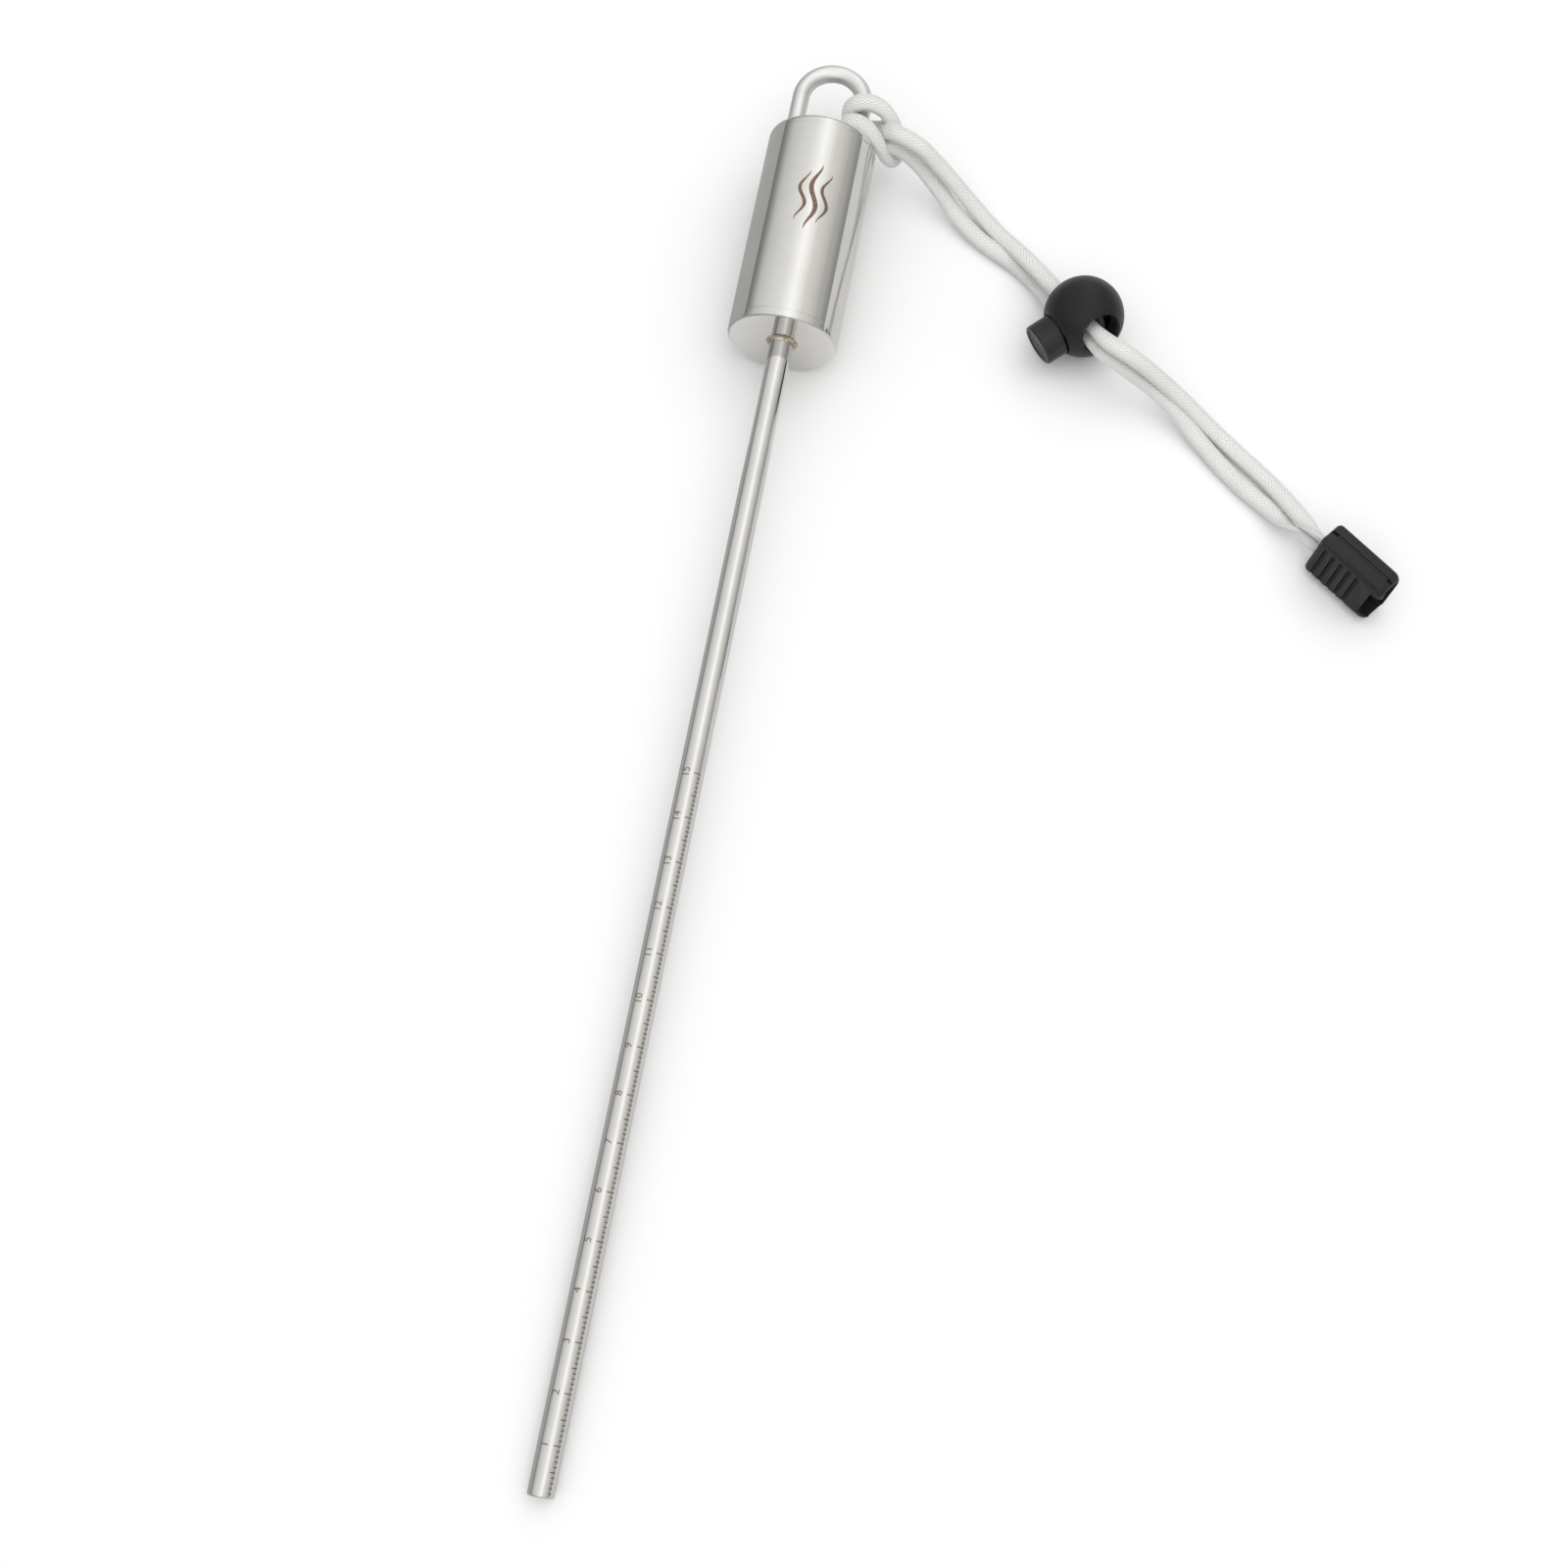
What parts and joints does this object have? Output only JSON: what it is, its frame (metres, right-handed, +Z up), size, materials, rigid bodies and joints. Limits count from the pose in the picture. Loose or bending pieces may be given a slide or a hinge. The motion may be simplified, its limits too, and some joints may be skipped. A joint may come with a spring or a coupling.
{
  "type": "rattle pointer with wrist lanyard",
  "caption": "Slim steel pointer rod with a cylindrical rattle, a carrying ring, and a braided wrist lanyard with a ball cord lock and a cord end clip.",
  "frame": {"origin": "under the middle of the resting stick (pointer rod, rattle and carrying ring), on the table it lies on; +Z is up", "axes": "+Y along the stick from the rod's tip towards the carrying ring, as seen from above; +Z up from the table; +X to the side the lanyard lies on. The stick's axis climbs 2.2 degrees towards the ring, because it rests on the rattle's rim and on the tip."},
  "size_m": [0.1576, 0.3288, 0.0274],
  "materials": {
    "polished_steel": "mirror polished stainless steel",
    "satin_steel": "satin stainless steel",
    "weld_metal": "heat tinted weld bead",
    "ball_steel": "smooth bearing ball",
    "braided_cord": "flat braided cord, pale grey",
    "lock_plastic": "fine matte black",
    "spring_steel": "bright spring wire",
    "clip_plastic": "fine matte charcoal black"
  },
  "bodies": {
    "stick": {"pointer_rod": "polished_steel", "rattle_tube": "polished_steel", "rod_end_cap": "polished_steel", "ring_end_cap": "polished_steel", "rod_weld": "weld_metal", "carry_ring": "satin_steel", "ring_welds": "weld_metal", "lanyard_cord": "braided_cord", "cord_end_knot": "braided_cord", "clip_far_half": "clip_plastic", "clip_film_hinge": "clip_plastic"},
    "cord_lock": {"lock_ball": "lock_plastic", "lock_spring": "spring_steel"},
    "button": {"lock_button": "lock_plastic"},
    "clip_flap": {"clip_near_half": "clip_plastic"},
    "ball_1": {"rattle_ball_1": "ball_steel"},
    "ball_2": {"rattle_ball_2": "ball_steel"},
    "ball_3": {"rattle_ball_3": "ball_steel"}
  },
  "joints": [
    {"name": "lock_slide", "type": "slide", "parent": "stick", "child": "cord_lock", "axis": [0.5624, -0.7199, 0.4067], "range_m": [0, 0.003]},
    {"name": "button_press", "type": "slide", "parent": "cord_lock", "child": "button", "axis": [0.7326, 0.662, 0.1586], "range_m": [0, 0.0034], "stiffness_N_per_m": 300, "springref_m": -0.002, "deforming": ["lock_spring"]},
    {"name": "clip_flap_hinge", "type": "hinge", "parent": "stick", "child": "clip_flap", "pos_m": [0.13595, 0.0615, 0.01228], "axis": [-0.809, 0.5878, 0], "range_deg": [0, 100]},
    {"name": "ball_1_roll", "type": "slide", "parent": "stick", "child": "ball_1", "axis": [0, 0.9992, 0.039], "range_m": [0, 0.0203]},
    {"name": "ball_2_roll", "type": "slide", "parent": "stick", "child": "ball_2", "axis": [0, 0.9992, 0.039], "range_m": [0, 0.0203]},
    {"name": "ball_3_roll", "type": "slide", "parent": "stick", "child": "ball_3", "axis": [0, 0.9992, 0.039], "range_m": [0, 0.0203]}
  ],
  "couplings": [
    {"joint": "ball_2_roll", "follows": "ball_1_roll", "ratio": 1},
    {"joint": "ball_3_roll", "follows": "ball_1_roll", "ratio": 1}
  ]
}
